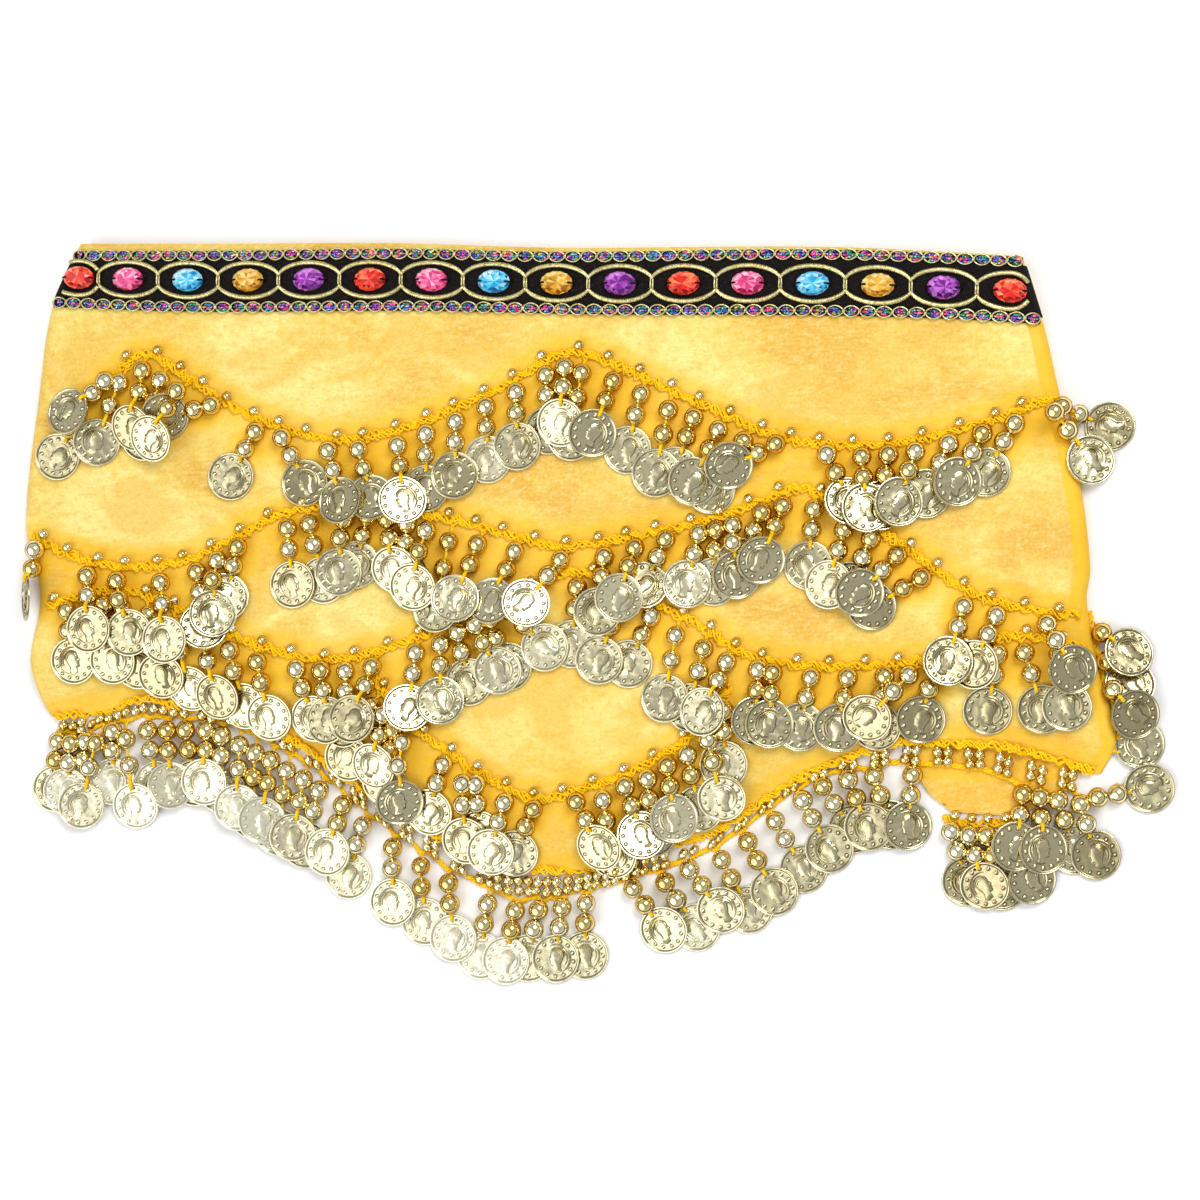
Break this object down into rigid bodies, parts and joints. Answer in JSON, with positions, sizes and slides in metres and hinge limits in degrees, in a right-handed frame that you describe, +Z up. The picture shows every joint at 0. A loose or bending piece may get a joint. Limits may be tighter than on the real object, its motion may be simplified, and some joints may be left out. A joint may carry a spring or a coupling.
{
  "type": "belly dance hip scarf",
  "caption": "Folded velvet belly dance hip scarf with jewelled waist trim, wavy crochet rows of coin drops and a beaded, coin-fringed hem.",
  "frame": {"origin": "centre of the footprint, on the table under the folded scarf", "axes": "+X to the right along the waist, +Y up to the waist trim, +Z up out of the table"},
  "size_m": [0.4939, 0.3181, 0.0236],
  "materials": {
    "velvet": "crushed panne velvet, soft sheen",
    "coin_fringe": "cotton crochet with metallised beads and pressed coins",
    "black_band": "dull woven ground of the waist trim",
    "braid": "metallic gimp braid",
    "gold_cord": "pale gold metallic cord",
    "jewel_red": "faceted foil-backed acrylic",
    "jewel_fuchsia": "faceted foil-backed acrylic",
    "jewel_blue": "faceted foil-backed acrylic",
    "jewel_amber": "faceted foil-backed acrylic",
    "jewel_purple": "faceted foil-backed acrylic"
  },
  "bodies": {
    "root": {"scarf_front": "velvet", "folded_layers": "velvet", "back_corner": "velvet", "hem_fringe": "coin_fringe", "back_fringe": "coin_fringe", "side_fringe": "coin_fringe", "waist_band": "black_band", "braid_upper": "braid", "braid_lower": "braid", "scroll_cord": "gold_cord", "coin_row_1": "coin_fringe", "coin_row_2": "coin_fringe", "coin_row_3": "coin_fringe", "coin_row_4": "coin_fringe", "jewel_00": "jewel_red", "jewel_01": "jewel_fuchsia", "jewel_02": "jewel_blue", "jewel_03": "jewel_amber", "jewel_04": "jewel_purple", "jewel_05": "jewel_red", "jewel_06": "jewel_fuchsia", "jewel_07": "jewel_blue", "jewel_08": "jewel_amber", "jewel_09": "jewel_purple", "jewel_10": "jewel_red", "jewel_11": "jewel_fuchsia", "jewel_12": "jewel_blue", "jewel_13": "jewel_amber", "jewel_14": "jewel_purple", "jewel_15": "jewel_red"}
  },
  "joints": []
}
